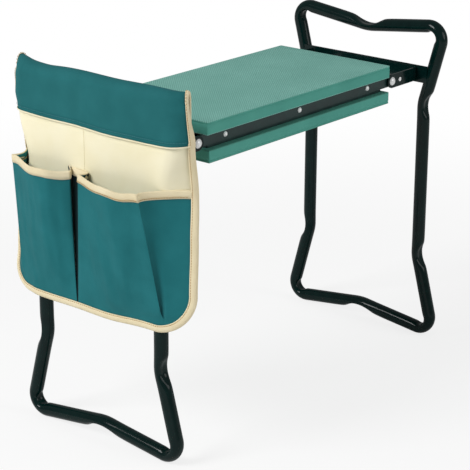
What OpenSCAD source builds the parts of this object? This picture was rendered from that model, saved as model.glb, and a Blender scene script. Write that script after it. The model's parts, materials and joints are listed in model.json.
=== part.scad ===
// Folding garden kneeler seat with a tool bag.
// A foam-padded steel seat hangs between two welded tube legs. Each leg folds
// in under the seat about a pair of pivot bolts, and a spring-loaded fork latch
// at each end hooks a rod on the leg. The tool bag is sleeved over the left
// handle. Turned upside down, the same frame is a kneeler with two handles.
// X runs along the seat (left leg at -X), Y across it, Z up from the floor.

/* [Seat] */
// Length of the upper pad
seat_len = 400; // [360:1:460]
// Front-to-back depth of the upper pad
seat_dep = 198; // [190:1:230]
// Thickness of the upper pad
pad_t = 18; // [10:1:30]
// Thickness of the lower pad
lower_pad_t = 17; // [10:1:30]
// How much shorter the lower pad is at each end
lower_pad_inset = 2; // [0:0.5:8]
// How far the lower pad stands past the upper pad at front and back
lower_pad_proud = 1; // [0:0.5:4]
// Radius of the pads' vertical corners
pad_corner_r = 2; // [1:0.5:6]
// Height of the seat's top face above the floor
seat_top = 433; // [400:1:450]

/* [Seat pans] */
// How far the side rails are set back from the pad's faces
rail_setback = 7.5; // [5:0.5:12]
// Height of the side rails
rail_h = 16; // [15:0.5:22]
// Gap between the rails and the lower pad
pan_gap = 4; // [2:0.5:10]
// Sheet thickness of the upper pan
upper_sheet = 1.2; // [1:0.1:1.5]
// Sheet thickness of the lower pan
lower_sheet = 1.2; // [1:0.1:1.5]
// How far short of the pads the lower pan stops at each end
lower_pan_inset = 10; // [8:1:30]
// Distance of the outer side rivets from the middle one
rivet_pitch = 156; // [120:1:165]
// Diameter of the side rivets' domed heads
rivet_head_d = 7.5; // [6:0.5:9]
// Diameter of the side rivets' shanks
rivet_d = 4; // [3:0.5:5]

/* [Pivots] */
// Distance of each pivot beyond the end of the upper pad
pivot_out = 13; // [12:0.5:20]
// Diameter of the pivot bolts
bolt_d = 6; // [5:0.5:6]
// Diameter of the bolts' domed heads
bolt_head_d = 12.5; // [11:0.5:16]
// Height of the bolts' domed heads
bolt_head_h = 3.4; // [2.5:0.1:5]
// Width across the flats of the nuts
nut_af = 9; // [9:0.5:10]
// Thickness of the nuts
nut_t = 4; // [3:0.5:6]
// Thickness of the washers between rails and ears
washer_t = 1.2; // [0.8:0.1:2]

/* [Legs] */
// Overall height of the leg loops
leg_h = 487; // [475:1:510]
// Width of the leg loops over their corners
leg_w = 275; // [265:1:300]
// Width of the loops over their straight middle
waist_w = 225; // [222:1:235]
// Diameter of the leg tube
tube_d = 19; // [17:0.5:20]
// Wall of the leg tube
tube_wall = 1.2; // [1:0.1:2]
// Centre-line radius of the corner bends
corner_r = 20; // [18:1:26]
// Centre-line radius of the shallow bends
kink_r = 34; // [25:1:50]
// Slope of the flared parts of the side tubes
flare_deg = 15; // [12:0.5:18]
// Slope of the two halves of the handle bar and the foot bar
bar_deg = 7; // [4:0.5:9]
// How much fuller the tube is in its bends
bend_bulge = 0.1; // [0.06:0.01:0.3]
// Depth of the pressed-in hollow inside each bend
crush_depth = 3.6; // [2:0.1:5]
// Distance from pivot to tube centre on the left leg, which folds undermost
left_reach = 82; // [80:1:95]
// Distance from pivot to tube centre on the right leg, which folds first
right_reach = 72; // [68:1:76]

/* [Leg brackets] */
// Height of the ears round the pivots
ear_h = 20; // [18:0.5:22]
// Height of the cross plate between the side tubes
web_h = 25; // [22:0.5:30]
// Sheet thickness of the brackets
bracket_t = 2; // [1.5:0.1:2.5]
// Outer radius of the bend from ear to cross plate
bracket_bend_r = 5; // [4:0.5:8]

/* [Latches] */
// Diameter of the lock rods
rod_d = 6; // [5:0.5:6]
// Distance from pivot to lock rod
rod_reach = 18; // [18:0.5:20]
// Travel of the latches
latch_travel = 9; // [8:0.5:9]
// Sheet thickness of the latches' fork arms
arm_t = 1.8; // [1.2:0.1:2]
// Half height of the fork arms
arm_half_h = 7.2; // [6.5:0.1:7.4]
// Length of the upper prong past the pivot, latch drawn back
upper_prong = 15.5; // [14.5:0.5:16]
// Length of the lower prong past the pivot, latch drawn back
lower_prong = 12; // [11:0.5:12.5]
// Width of the latches' pull tongue
tongue_w = 42; // [30:1:60]
// Length of the tongue behind the pivot
tongue_len = 45; // [40:1:60]
// Outer diameter of the latch springs
spring_d = 9; // [7:0.5:10]
// Wire diameter of the latch springs
spring_wire = 1.1; // [0.8:0.1:1.4]
// Length of the latch springs, latch drawn back
spring_len = 28; // [24:1:40]
// Turns of each latch spring
spring_turns = 8; // [6:1:12]

/* [Tool bag] */
// Width of the bag over its edge tape, laid flat
bag_w = 320; // [300:1:340]
// Height of the bag's lower edge above the floor
bag_bottom = 182; // [170:1:220]
// Thickness of the bag's cloth walls
cloth_t = 2; // [1.5:0.1:2.5]
// Width of the edge tape
tape_w = 9; // [6:0.5:12]
// Radius of the bag's near lower corner
bag_corner_r = 44; // [30:1:60]
// Radius of the bag's far lower corner
far_corner_r = 33; // [25:1:60]
// Radius at which the bag's sides curl back round the tubes
curl_r = 24; // [18:1:40]
// How far outside the side tubes' waist the panel starts to curl back
curl_out = 3; // [2:0.5:12]
// The same distance at the sleeve, where the tubes flare out
curl_out_top = 21; // [20:0.5:30]
// How far the sides curl back at the lower edge, in degrees
curl_foot = 14; // [0:1:20]
// How far the sides curl back at the pockets' mouths, in degrees
curl_mouth = 43; // [20:1:50]
// Height above the pockets' middle at which the curl is halfway between those two
curl_half_rise = 34; // [20:1:50]
// Depth below the pockets' mouths down to which the sides curl from one line
curl_line_drop = 8; // [0:1:20]
// How far the sides curl back at the sleeve, in degrees
curl_top = 62; // [30:1:70]
// Width of the sleeve over the handle
sleeve_w = 284; // [270:1:300]
// Height of the sleeve's front flap below the handle top
sleeve_front = 57; // [50:1:75]
// Height of the sleeve's back flap below the handle top
sleeve_back = 47; // [40:1:48]
// Height of the pockets' mouths above the bag's lower edge
pocket_h = 187; // [150:1:200]
// Depth of the pockets at their mouths
pocket_depth = 36; // [20:1:45]
// How far the pockets' cloth swells between mouth and foot
pocket_belly = 4; // [0:0.5:8]
// Distance of the seam between the pockets from the middle of the bag
pocket_seam = 31; // [0:1:50]
// Gap between the two pockets at the seam
pocket_gap = 4; // [3:1:12]
// Distance of the near pocket's fold from the side edge, at the mouth
near_fold_top = 57; // [40:1:70]
// Distance of the near pocket's fold from the side edge, at the foot
near_fold_foot = 44; // [30:1:60]
// Distance of the far pocket's fold from the side edge, at the mouth
far_fold_top = 16; // [12:1:40]
// Distance of the far pocket's fold from the side edge, at the foot
far_fold_foot = 21; // [15:1:40]
// Width of the pockets' gussets at the foot
gusset_foot = 10; // [6:1:15]
// Height of the lower straps' middle above the floor
strap_z = 250; // [230:1:300]
// Width of the straps and closing tabs
strap_w = 25; // [15:1:30]

/* [Clearances] */
// Gap between faces that slide or turn on each other
slide_gap = 0.2; // [0.1:0.05:0.3]
// Radial gap of a bolt or rod in its hole
hole_gap = 0.1; // [0.05:0.01:0.15]
// Gap between the rod and the fork that grips it
grip_gap = 0.3; // [0.2:0.05:0.4]

/* [Hidden] */
$fn = 64;

// Heights of the seat's layers
pad_z = seat_top - pad_t;
rail_z = pad_z - rail_h;
lower_pad_z = rail_z - pan_gap;
pivot_z = rail_z + rail_h / 2;

// Places along and across the seat
pivot_x = seat_len / 2 + pivot_out;
rail_y = seat_dep / 2 - rail_setback;
lower_pad_len = seat_len - 2 * lower_pad_inset;
lower_pad_dep = seat_dep + 2 * lower_pad_proud;
lower_pan_len = seat_len - 2 * lower_pan_inset;
lower_pan_y = rail_y - upper_sheet - slide_gap / 2;
arm_y = rail_y - upper_sheet - slide_gap;
nut_y = arm_y - arm_t - slide_gap;
ear_y = rail_y + washer_t + slide_gap;
head_y = ear_y + bracket_t + slide_gap / 2;

// Leg loop, as a polygon of tube centre lines with rounded corners
bend_lap = 0.4;
tube_r = tube_d / 2;
corner_y = leg_w / 2 - tube_r - corner_r;
corner_z = tube_r + corner_r + bend_bulge / 2;
waist_y = (waist_w - tube_d) / 2;
bar_mid_z = corner_z - corner_r / cos(bar_deg) + corner_y * tan(bar_deg);
kink_z = corner_z + (corner_y + corner_r / cos(flare_deg) - waist_y) / tan(flare_deg);
foot_y = (corner_y + corner_r / cos(flare_deg) + (corner_z - bar_mid_z) * tan(flare_deg))
         / (1 - tan(bar_deg) * tan(flare_deg));
foot_z = bar_mid_z - foot_y * tan(bar_deg);

// Leg brackets
web_in = tube_r - 1.5;
web_half_y = waist_y + (pivot_z - (leg_h - kink_z)) * tan(flare_deg) - 3;

// Latches, measured from the pivot with the latch drawn back
slot_h = bolt_d + 2 * grip_gap;
notch_h = rod_d + 2 * grip_gap;
notch_root = rod_reach - rod_d / 2 - grip_gap - latch_travel;
strip_z = rail_h / 2 - upper_sheet - 0.5 - 1.5;
strip_t = 1.5;
strip_from = nut_af / 2 / cos(30) + 1.5;
spring_z = strip_z - spring_d / 2 - 2.5;
seat_plate_t = 1.5;

// Bag. Its forms are given on the cloth laid flat: s is the distance across
// from the middle, z the height, and lift the distance off the panel's face.
bag_x = tube_r + 0.5;
sleeve_r = bag_x + cloth_t;
band_z = leg_h - sleeve_front;
mouth_z = bag_bottom + pocket_h;
bag_far = bag_x + cloth_t + pocket_depth;
tape_in = tape_w / 2;
// Lift of a pocket's stitched edge off the panel, whose facets stand proud of it
cloth_lap = 0.8;
curl_heights = [
  [bag_bottom + tape_w, curl_foot],
  [(bag_bottom + mouth_z) / 2 + curl_half_rise, (curl_foot + curl_mouth) / 2],
  [mouth_z, curl_mouth],
  [band_z, curl_top]
];
curl_starts = [[mouth_z - curl_line_drop, waist_y + curl_out], [band_z, waist_y + curl_out_top]];
// Mouths of the pockets from seam to fold: shares of the pocket's depth and
// of the way to the fold
near_mouth = [[0.53, 0.17], [0.71, 0.39], [1, 0.64], [0.94, 0.83], [0.83, 1]];
far_mouth = [[0.22, 0.02], [0.53, 0.12], [0.81, 0.25], [0.67, 0.54], [0.44, 0.74], [0.08, 1]];
pocket_rows = [0, 0.12, 0.3, 0.5, 0.75, 1];
corner_steps = 6;
edge_rows = 4;
panel_columns = [
  0, 0.035, 0.07, 0.105, 0.14, 0.175, 0.21, 0.5, 0.79, 0.825, 0.86, 0.895, 0.93, 0.965, 1
];

// The origin is on the floor under the middle of the whole
left_end = pivot_x + left_reach + bag_far;
right_end = pivot_x + right_reach + tube_r;
x_shift = (left_end - right_end) / 2;

green = "#76a598";
green_side = "#4f9583";
charcoal = "#323c3e";
coat = "#122321";
zinc = "#c9cdd0";
nylon = "#1c1f20";
teal = "#2a6a70";
cream = "#f0e8cd";
tape = "#ecd9b0";

// --- helpers -----------------------------------------------------------

// Puts its children at one end of the seat: side is -1 for left, 1 for right.
// Children are drawn for the right end, with the pivot at the origin.
module at_end(side) {
  translate([x_shift, 0, 0])
    mirror([side < 0 ? 1 : 0, 0, 0])
      translate([pivot_x, 0, pivot_z]) children();
}

// The same piece at the front and at the back of the seat
module both_sides() {
  for (side = [0, 1]) mirror([0, side, 0]) children();
}

// Rod along +Y from y1 to y2
module rod_y(d, y1, y2) {
  translate([0, y2, 0]) rotate([90, 0, 0]) cylinder(h = y2 - y1, d = d);
}

// Flat profile in X and Z, thickened along Y from y1 to y2
module plate_xz(y1, y2) {
  translate([0, y2, 0]) rotate([90, 0, 0]) linear_extrude(y2 - y1) children();
}

// Rectangle with four rounded corners
module round_rect(w, h, r) {
  for (x = [-1, 1], y = [-1, 1])
    translate([x * (w / 2 - r), y * (h / 2 - r)]) circle(r);
  square([w - 2 * r, h], center = true);
  square([w, h - 2 * r], center = true);
}

// Domed head on a flat base, axis +Z, base at z = 0
module dome(d, h) {
  ball_r = (d * d / 4 + h * h) / (2 * h);
  intersection() {
    translate([0, 0, h - ball_r]) sphere(ball_r);
    cylinder(h = h + 1, d = d);
  }
}

// --- seat --------------------------------------------------------------

module pad(len, dep, t) {
  linear_extrude(t) round_rect(len, dep, pad_corner_r);
}

module upper_pad() {
  color(green)
    translate([x_shift, 0, pad_z]) pad(seat_len, seat_dep, pad_t);
}

module lower_pad() {
  color(green_side)
    translate([x_shift, 0, lower_pad_z - lower_pad_t])
      pad(lower_pad_len, lower_pad_dep, lower_pad_t);
}

// Holes for the side rivets, through both rails
module rivet_holes() {
  for (x = [-1, 0, 1])
    translate([x * rivet_pitch, 0, pivot_z])
      rod_y(rivet_d + 2 * hole_gap, -rail_y - 1, rail_y + 1);
}

// Channel under the upper pad, whose flanges are the side rails
module upper_pan() {
  color(charcoal) translate([x_shift, 0, 0]) difference() {
    union() {
      translate([-seat_len / 2 + 2, -rail_y, pad_z - upper_sheet])
        cube([seat_len - 4, 2 * rail_y, upper_sheet]);
      both_sides() translate([0, 0, pivot_z]) plate_xz(rail_y - upper_sheet, rail_y) {
        square([2 * pivot_x, rail_h], center = true);
        for (side = [-1, 1]) translate([side * pivot_x, 0]) circle(rail_h / 2);
      }
    }
    rivet_holes();
    for (side = [-1, 1])
      translate([side * pivot_x, 0, pivot_z])
        rod_y(bolt_d + 2 * hole_gap, -rail_y - 1, rail_y + 1);
  }
}

// Channel that carries the lower pad, nested in the upper pan
module lower_pan() {
  top = pad_z - upper_sheet - 1;
  color(charcoal) translate([x_shift, 0, 0]) difference() {
    union() {
      translate([-lower_pan_len / 2, -lower_pan_y, lower_pad_z])
        cube([lower_pan_len, 2 * lower_pan_y, lower_sheet]);
      both_sides()
        translate([-lower_pan_len / 2, lower_pan_y - lower_sheet, lower_pad_z])
          cube([lower_pan_len, lower_sheet, top - lower_pad_z]);
    }
    rivet_holes();
  }
}

// Six domed rivets that hold the two pans together
module side_rivets() {
  tail_y = lower_pan_y - lower_sheet;
  color(zinc) translate([x_shift, 0, pivot_z])
    both_sides() for (x = [-1, 0, 1]) translate([x * rivet_pitch, 0, 0]) {
      rod_y(rivet_d, tail_y - 1.6, rail_y);
      rod_y(rivet_d * 1.5, tail_y - 1.6, tail_y);
      translate([0, rail_y, 0]) rotate([-90, 0, 0]) dome(rivet_head_d, rivet_head_d * 0.3);
    }
}

// --- pivots ------------------------------------------------------------

module pivot_bolts(side) {
  color(zinc) at_end(side) both_sides() {
    rod_y(bolt_d, nut_y - nut_t - 1, head_y);
    translate([0, head_y, 0]) rotate([-90, 0, 0]) dome(bolt_head_d, bolt_head_h);
  }
}

module pivot_nuts(side) {
  color(zinc) at_end(side) both_sides() difference() {
    translate([0, nut_y, 0]) rotate([90, 0, 0])
      cylinder(h = nut_t, d = nut_af / cos(30), $fn = 6);
    rod_y(bolt_d + 2 * hole_gap, nut_y - nut_t - 1, nut_y + 1);
  }
}

// Nylon washers that the ears turn against
module pivot_washers(side) {
  color(nylon) at_end(side) both_sides() difference() {
    rod_y(bolt_head_d, rail_y, rail_y + washer_t);
    rod_y(bolt_d + 2 * hole_gap, rail_y - 1, rail_y + washer_t + 1);
  }
}

// --- legs --------------------------------------------------------------

// Right half of the loop's corner points, from the foot bar up
half_loop = [
  [foot_y, foot_z], [waist_y, kink_z],
  [waist_y, leg_h - kink_z], [foot_y, leg_h - foot_z]
];
loop_points = concat(
  [[0, bar_mid_z]], half_loop, [[0, leg_h - bar_mid_z]],
  [for (i = [3:-1:0]) [-half_loop[i][0], half_loop[i][1]]]
);
loop_radii = [
  kink_r, corner_r, kink_r, kink_r, corner_r,
  kink_r, corner_r, kink_r, kink_r, corner_r
];

function heading(a, b) = atan2(b[1] - a[1], b[0] - a[0]);
function wrap(deg) = deg > 180 ? deg - 360 : deg < -180 ? deg + 360 : deg;
function loop_point(i) = loop_points[(i + 10) % 10];
function loop_turn(i) =
  wrap(heading(loop_point(i), loop_point(i + 1)) - heading(loop_point(i - 1), loop_point(i)));
function tangent_len(i) = loop_radii[(i + 10) % 10] * tan(abs(loop_turn(i)) / 2);
// Unit vector at a heading
function unit(deg) = [cos(deg), sin(deg)];

// The loop as straight tubes and bends, lying in the XY plane
module loop_solid(d) {
  for (i = [0:9]) {
    a = loop_point(i);
    b = loop_point(i + 1);
    dir = heading(a, b);
    start = a + (tangent_len(i) - bend_lap) * unit(dir);
    span = norm(b - a) - tangent_len(i) - tangent_len(i + 1) + 2 * bend_lap;
    translate([start[0], start[1], 0]) rotate([0, 0, dir]) rotate([0, 90, 0])
      cylinder(h = span, d = d);
    loop_bend(i) circle(d = d + bend_bulge);
  }
}

// Centre of a bend: the side that it turns to
function bend_side(i) = loop_turn(i) > 0 ? 1 : -1;
function bend_centre(i) =
  loop_point(i) - tangent_len(i) * unit(heading(loop_point(i - 1), loop_point(i)))
  + bend_side(i) * loop_radii[i] * unit(heading(loop_point(i - 1), loop_point(i)) + 90);

// Turns a profile round one bend
module loop_bend(i) {
  centre = bend_centre(i);
  start = heading(loop_point(i - 1), loop_point(i)) - 90 * bend_side(i);
  sweep = abs(loop_turn(i));
  translate([centre[0], centre[1], 0])
    rotate([0, 0, bend_side(i) > 0 ? start : start - sweep])
      rotate_extrude(angle = sweep) translate([loop_radii[i], 0]) children();
}

// Hollows pressed into the inside of every bend
module crush_marks(wall) {
  press_r = corner_r - tube_r + crush_depth;
  for (i = [0:9]) {
    mid = heading(loop_point(i - 1), loop_point(i)) + loop_turn(i) / 2 + 90 * bend_side(i);
    reach = loop_radii[i] - (tube_r - crush_depth + press_r);
    place = bend_centre(i) - reach * unit(mid);
    translate([place[0], place[1], 0])
      cylinder(h = 2 * tube_d, r = press_r + wall, center = true);
  }
}

// One closed loop of crush-bent tube in the YZ plane, feet on the floor
module leg_loop() {
  rotate([90, 0, 90]) difference() {
    loop_solid(tube_d);
    crush_marks(0);
    difference() {
      loop_solid(tube_d - 2 * tube_wall);
      crush_marks(tube_wall);
    }
  }
}

module leg_tube(side, reach) {
  color(coat) at_end(side) translate([reach, 0, -pivot_z]) leg_loop();
}

// Ears and cross plate, bent from sheet and welded to the side tubes
module leg_bracket(side, reach) {
  web_x = reach - web_in;
  bend_x = web_x - bracket_bend_r;
  bend_y = ear_y + bracket_t - bracket_bend_r;
  inner_r = bracket_bend_r - bracket_t;
  color(coat) at_end(side) difference() {
    union() {
      translate([web_x - bracket_t, -web_half_y, -web_h / 2])
        cube([bracket_t, 2 * web_half_y, web_h]);
      both_sides() {
        plate_xz(ear_y, ear_y + bracket_t) {
          circle(ear_h / 2);
          translate([0, -ear_h / 2]) square([bend_x, ear_h]);
        }
        translate([bend_x, bend_y, -ear_h / 2]) linear_extrude(ear_h) intersection() {
          difference() {
            circle(bracket_bend_r);
            circle(inner_r);
          }
          square(bracket_bend_r);
        }
      }
    }
    both_sides() {
      rod_y(bolt_d + 2 * hole_gap, ear_y - 1, ear_y + bracket_t + 1);
      translate([rod_reach, 0, 0])
        rod_y(rod_d + 2 * hole_gap, ear_y - 1, ear_y + bracket_t + 1);
    }
    translate([reach, 0, -pivot_z]) rotate([90, 0, 90]) loop_solid(tube_d);
  }
}

// Rod between a leg's ears that the fork latch grips
module lock_rod(side) {
  color(zinc) at_end(side) translate([rod_reach, 0, 0])
    rod_y(rod_d, -ear_y - bracket_t - 1, ear_y + bracket_t + 1);
}

// --- latches -----------------------------------------------------------

// Side view of one fork arm: a slotted plate with two prongs
module fork_profile() {
  difference() {
    union() {
      translate([-latch_travel, 0]) circle(arm_half_h);
      translate([-latch_travel, -arm_half_h])
        square([latch_travel + lower_prong, 2 * arm_half_h]);
      translate([0, notch_h / 2])
        square([upper_prong, arm_half_h - notch_h / 2]);
    }
    translate([-latch_travel, -slot_h / 2]) square([latch_travel, slot_h]);
    for (x = [-latch_travel, 0]) translate([x, 0]) circle(d = slot_h);
    translate([notch_root, -notch_h / 2]) square([upper_prong, notch_h]);
    translate([lower_prong, -arm_half_h]) rotate(45) square(2, center = true);
    translate([upper_prong, arm_half_h]) rotate(45) square(3, center = true);
  }
}

// Pressed latch: two fork arms, a cross strip and a tongue under the seat
module latch(side) {
  tab_z = spring_z - spring_d / 2;
  color(coat) at_end(side) {
    both_sides() plate_xz(arm_y - arm_t, arm_y) fork_profile();
    translate([strip_from, -arm_y + arm_t / 2, strip_z])
      cube([lower_prong + 2 - strip_from, 2 * arm_y - arm_t, strip_t]);
    translate([-tongue_len, -tongue_w / 2, strip_z])
      cube([tongue_len + lower_prong, tongue_w, strip_t]);
    translate([-tongue_len, -spring_d, tab_z])
      cube([strip_t, 2 * spring_d, strip_z + strip_t - tab_z]);
  }
}

// Angle plate on the lower pan that the spring pushes against
module spring_seat(side) {
  plate_x = -tongue_len - spring_len - seat_plate_t;
  foot_z0 = lower_pad_z + lower_sheet - pivot_z;
  color(charcoal) at_end(side) {
    translate([plate_x, -spring_d, foot_z0])
      cube([seat_plate_t, 2 * spring_d, spring_z + spring_d / 2 - foot_z0]);
    translate([plate_x - 2 * spring_d, -spring_d, foot_z0])
      cube([2 * spring_d, 2 * spring_d, seat_plate_t]);
  }
}

// Coil spring along X: rings of points swept round a helix and joined
module latch_spring(side) {
  sides = 6;
  per_turn = 14;
  rings = spring_turns * per_turn;
  coil_r = (spring_d - spring_wire) / 2;
  run = spring_len - spring_wire;
  points = [for (i = [0:rings], k = [0:sides - 1])
    let (a = 360 * i / per_turn, b = 360 * k / sides,
         r = coil_r + spring_wire / 2 * cos(b))
      [run * i / rings + spring_wire / 2 * sin(b), r * cos(a), r * sin(a)]];
  walls = [for (i = [0:rings - 1], k = [0:sides - 1])
    let (n = (k + 1) % sides)
      [i * sides + k, i * sides + n, (i + 1) * sides + n, (i + 1) * sides + k]];
  caps = [
    [for (k = [sides - 1:-1:0]) k],
    [for (k = [0:sides - 1]) rings * sides + k]
  ];
  color(zinc) at_end(side)
    translate([-tongue_len - spring_len + spring_wire / 2, 0, spring_z])
      polyhedron(points, concat(walls, caps));
}

// --- tool bag ----------------------------------------------------------

// Puts its children on the outer side of the left leg, outwards along +X
module on_left_leg() {
  translate([x_shift, 0, 0]) mirror([1, 0, 0])
    translate([pivot_x + left_reach, 0, 0]) children();
}

// Cloth sleeve over the handle, with a front and a back flap
module bag_sleeve() {
  arch_z = leg_h - tube_r / 2;
  back_z = leg_h - sleeve_back;
  color(teal) on_left_leg() plate_xz(-sleeve_w / 2, sleeve_w / 2) {
    translate([0, arch_z]) intersection() {
      difference() {
        circle(sleeve_r);
        circle(bag_x);
      }
      translate([-sleeve_r, 0]) square([2 * sleeve_r, sleeve_r]);
    }
    translate([bag_x, band_z]) square([cloth_t, arch_z - band_z]);
    translate([-sleeve_r, back_z]) square([cloth_t, arch_z - back_z]);
  }
}

// A place on the panel, whose side edges curl back round the tubes
function on_panel(s, z, lift = 0) =
  let (start = lookup(z, curl_starts),
       beyond = max(0, abs(s) - start),
       turn = min(beyond / curl_r * 180 / PI, lookup(z, curl_heights)),
       rest = beyond - turn * PI / 180 * curl_r)
  [sleeve_r - curl_r * (1 - cos(turn)) - rest * sin(turn) + lift * cos(turn),
   sign(s) * (min(abs(s), start) + curl_r * sin(turn) + rest * cos(turn) + lift * sin(turn)),
   z];

function corner_radius(side) = side < 0 ? bag_corner_r : far_corner_r;

// Point k of one side's outline laid flat, from the start of the curl at the
// lower edge to the top
function edge_flat(side, k, inset) =
  let (r = corner_radius(side) - inset, w = bag_w / 2 - inset, foot = bag_bottom + inset)
  k == 0 ? [side * (waist_y + curl_out), foot]
  : k <= corner_steps + 1
    ? let (a = 90 * (k - 1) / corner_steps)
      [side * (w - r + r * sin(a)), foot + r * (1 - cos(a))]
    : [side * w, foot + r + (band_z - foot - r) * (k - corner_steps - 1) / edge_rows];

// Closed solid between two grids of points, each a list of rows. In the first
// few columns, as many as flips says, the squares are split the other way.
module cloth_solid(front, back, flips = 0) {
  rows = len(front);
  cols = len(front[0]);
  n = rows * cols;
  quads = concat(
    [for (j = [0:rows - 2], i = [0:cols - 2])
      let (a = j * cols + i)
        i < flips ? [a + 1, a + cols + 1, a + cols, a] : [a, a + 1, a + cols + 1, a + cols]],
    [for (j = [0:rows - 2], i = [0:cols - 2])
      let (a = n + j * cols + i)
        i < flips ? [a + 1, a, a + cols, a + cols + 1] : [a, a + cols, a + cols + 1, a + 1]],
    [for (i = [0:cols - 2]) [i, n + i, n + i + 1, i + 1]],
    [for (i = [0:cols - 2]) let (a = n - cols + i) [a, a + 1, n + a + 1, n + a]],
    [for (j = [0:rows - 2]) let (a = j * cols) [a, a + cols, n + a + cols, n + a]],
    [for (j = [0:rows - 2]) let (a = j * cols + cols - 1) [a, n + a, n + a + cols, a + cols]]
  );
  polyhedron(
    concat([for (row = front, p = row) p], [for (row = back, p = row) p]),
    [for (q = quads, t = [[q[0], q[1], q[2]], [q[0], q[2], q[3]]]) t]
  );
}

module bag_back_panel() {
  function panel_row(k, lift) =
    let (a = edge_flat(-1, k, tape_in), b = edge_flat(1, k, tape_in))
    [for (u = panel_columns) let (p = a + u * (b - a)) on_panel(p[0], p[1], lift)];
  rows = [1:corner_steps + 1 + edge_rows];
  color(cream) on_left_leg()
    cloth_solid([for (k = rows) panel_row(k, 0)], [for (k = rows) panel_row(k, -cloth_t)],
                (len(panel_columns) - 1) / 2);
}

// Tape that binds the sides and the lower edge
module bag_edge_tape() {
  last = corner_steps + 1 + edge_rows;
  stations = concat([for (k = [last:-1:0]) [-1, k]], [for (k = [0:last]) [1, k]]);
  function tape_row(inset, lift) =
    [for (t = stations) let (p = edge_flat(t[0], t[1], inset)) on_panel(p[0], p[1], lift)];
  color(tape) on_left_leg()
    cloth_solid([tape_row(0, 0.5), tape_row(tape_in, 0.5)],
                [tape_row(0, -cloth_t), tape_row(tape_in, -cloth_t)]);
}

// Height of the lower outline at a distance s from the middle
function foot_z(s, inset) =
  let (r = corner_radius(sign(s)) - inset, into = max(0, abs(s) - (bag_w / 2 - inset - r)))
  bag_bottom + inset + r - sqrt(max(0, r * r - into * into));

// Flat point at a length along one side's outline from the lower middle
function outline_at(side, along, inset) =
  let (r = corner_radius(side) - inset, w = bag_w / 2 - inset, bend = r * PI / 2)
  along < w - r + bend
    ? let (a = (along - w + r) / r * 180 / PI)
      [side * (w - r + r * sin(a)), bag_bottom + inset + r * (1 - cos(a))]
    : [side * w, bag_bottom + inset + r + along - (w - r + bend)];

// One open-topped pocket on the front of the panel: from the seam out to the
// fold and back as a gusset to the panel's side edge
module pocket(side, mouth, fold_top, fold_foot) {
  inset = tape_in + 0.5;
  seam_y = pocket_seam + side * pocket_gap / 2;
  fold_y = side * (bag_w / 2 - fold_top);
  fold_s = side * (bag_w / 2 - fold_foot);
  r = corner_radius(side) - inset;
  w = bag_w / 2 - inset;
  bend_from = w - r;
  gusset_from = gusset_foot + (abs(fold_s) < bend_from
    ? abs(fold_s) : bend_from + r * asin((abs(fold_s) - bend_from) / r) * PI / 180);
  gusset_to = bend_from + r * PI / 2 + mouth_z - bag_bottom - inset - r;
  last = len(mouth) - 1;

  function front_point(i, v) =
    let (share = mouth[i][1],
         s = seam_y + max(share, 0.06) * (fold_s - seam_y),
         foot = on_panel(s, foot_z(s, inset), cloth_t),
         top = [sleeve_r + mouth[i][0] * pocket_depth, seam_y + share * (fold_y - seam_y), mouth_z],
         swell = pocket_belly * sin(180 * v) * sin(180 * share))
    foot + v * (top - foot) + [swell, 0, 0];
  function edge_point(v, lift) =
    let (p = outline_at(side, gusset_from + v * (gusset_to - gusset_from), inset))
    on_panel(p[0], p[1], lift);
  // Outer face of one row, from the root at the seam to the gusset's edge
  function outer_row(v) = concat(
    [[sleeve_r, seam_y, front_point(0, v)[2]]],
    [for (i = [0:last]) front_point(i, v)],
    [(front_point(last, v) + edge_point(v, cloth_t)) / 2, edge_point(v, cloth_t)]
  );
  // Inner face: each point moved inwards, square to the cloth beside it
  function inner_row(v) =
    let (row = outer_row(v), n = len(row))
    [for (i = [0:n - 1])
      i == 0 ? [sleeve_r, seam_y + side * 1.2 * cloth_t, row[0][2]]
      : i == n - 1 ? edge_point(v, cloth_lap)
      : v == 0 ? flat_on_panel(row[i], i)
      : let (a = flat_unit(row[i] - row[i - 1]), b = flat_unit(row[i + 1] - row[i]),
             m = flat_unit(a + b), grow = min(1.5, 1 / max(0.5, m * a)))
        row[i] + side * cloth_t * grow * [-m[1], m[0], 0]];
  // The lowest row lies close on the panel
  function flat_on_panel(p, i) =
    i <= last + 1
      ? let (s = seam_y + max(mouth[i - 1][1], 0.06) * (fold_s - seam_y))
        on_panel(s, foot_z(s, inset), cloth_lap)
      : (flat_on_panel(p, last + 1) + edge_point(0, cloth_lap)) / 2;
  color(teal) on_left_leg()
    if (side < 0)
      cloth_solid([for (v = pocket_rows) inner_row(v)], [for (v = pocket_rows) outer_row(v)]);
    else
      cloth_solid([for (v = pocket_rows) outer_row(v)], [for (v = pocket_rows) inner_row(v)]);
}

function flat_unit(v) = let (n = norm([v[0], v[1]])) n < 0.001 ? [0, 1, 0] : [v[0] / n, v[1] / n, 0];

// Two straps that go round the side tubes behind the bag
module bag_lower_straps() {
  color(nylon) on_left_leg() both_sides()
    translate([0, waist_y, strap_z - strap_w / 2]) linear_extrude(strap_w)
      difference() {
        union() {
          circle(bag_x + cloth_t / 2);
          translate([0, -bag_x - cloth_t / 2]) square([bag_x, bag_x + cloth_t / 2]);
        }
        circle(tube_r + hole_gap);
        translate([bag_x - 0.3, -2 * tube_d]) square(4 * tube_d);
        // clear of the panel where it curls back
        translate([bag_x - cloth_t, 0]) square(2 * tube_d);
      }
}

// Two tabs that close the sleeve under the handle bar
module bag_closing_tabs() {
  tab_y = waist_y * 0.6;
  color(nylon) on_left_leg() both_sides()
    translate([-bag_x, tab_y - strap_w / 2, leg_h - sleeve_back])
      cube([2 * bag_x, strap_w, cloth_t / 2]);
}

// --- assembly ----------------------------------------------------------

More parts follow.
